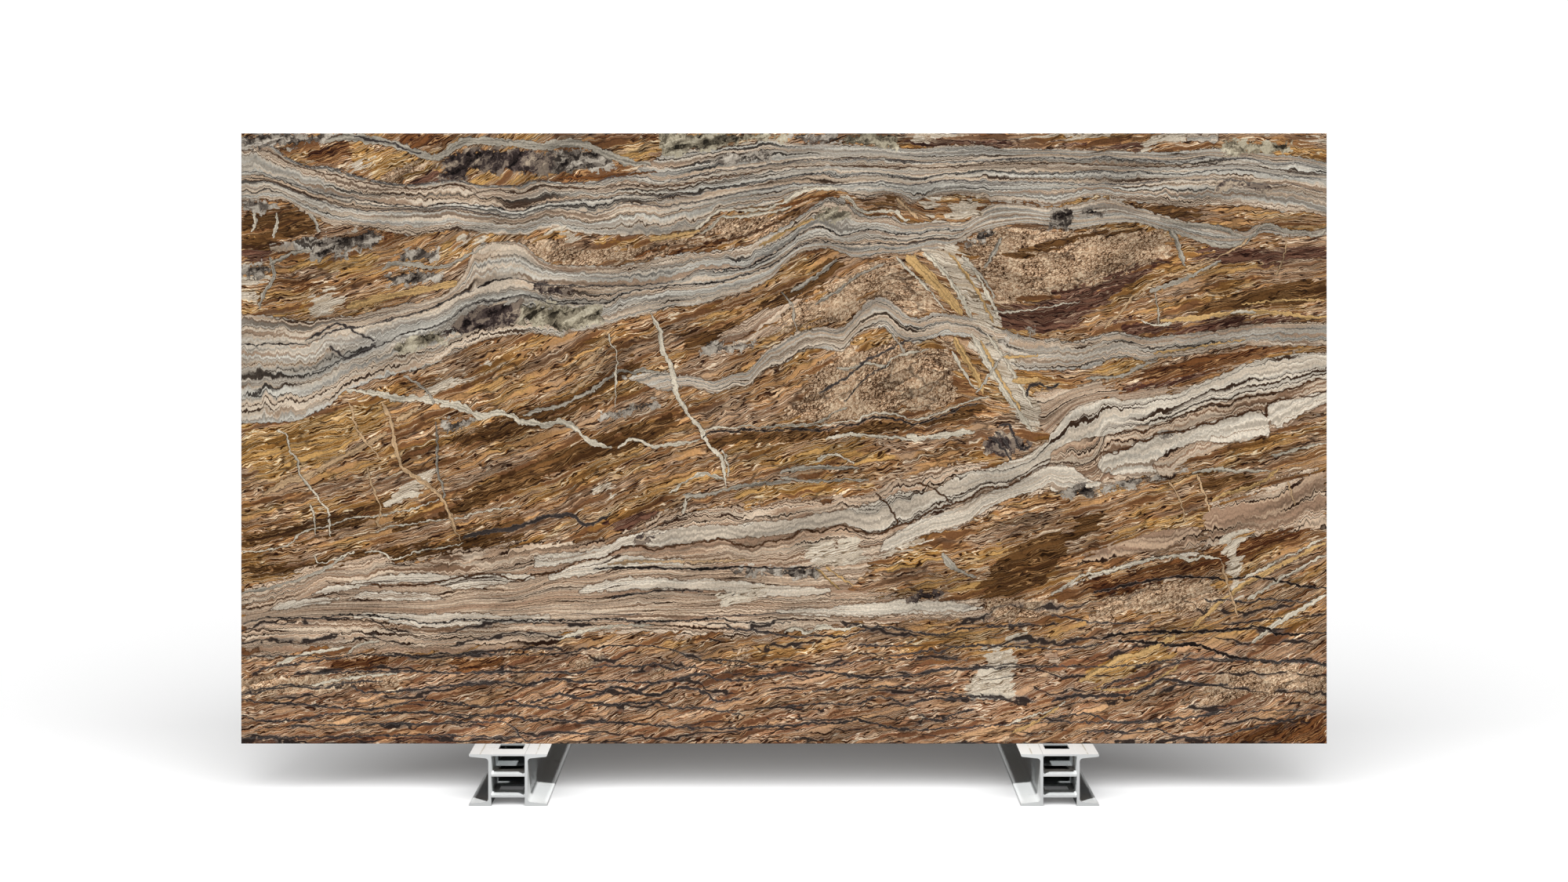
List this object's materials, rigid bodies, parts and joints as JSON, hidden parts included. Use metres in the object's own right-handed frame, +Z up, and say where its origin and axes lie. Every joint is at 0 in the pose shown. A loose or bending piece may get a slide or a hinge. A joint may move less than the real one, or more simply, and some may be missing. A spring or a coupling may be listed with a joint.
{
  "type": "polished marble slab on two rack rails",
  "caption": "Large rectangular polished marble slab with banded brown, rust, cream and grey veining, standing on its long edge across two white steel rack rails with square post sockets.",
  "frame": {"origin": "on the floor, midway between the two rails and midway along them", "axes": "+X runs along the slab's long edge, +Z is up, and the slab's polished face looks towards -Y"},
  "size_m": [3.1, 1, 1.8886],
  "materials": {
    "banded_marble": "polished face, sawn back",
    "white_paint": "satin white paint over rolled steel, slightly soiled"
  },
  "bodies": {
    "root": {"marble_slab": "banded_marble", "left_rail_outer_channel": "white_paint", "left_rail_inner_channel": "white_paint", "left_rail_cover_plate": "white_paint", "left_rail_middle_shelf": "white_paint", "left_rail_lower_shelf": "white_paint", "right_rail_outer_channel": "white_paint", "right_rail_inner_channel": "white_paint", "right_rail_cover_plate": "white_paint", "right_rail_middle_shelf": "white_paint", "right_rail_lower_shelf": "white_paint"}
  },
  "joints": []
}
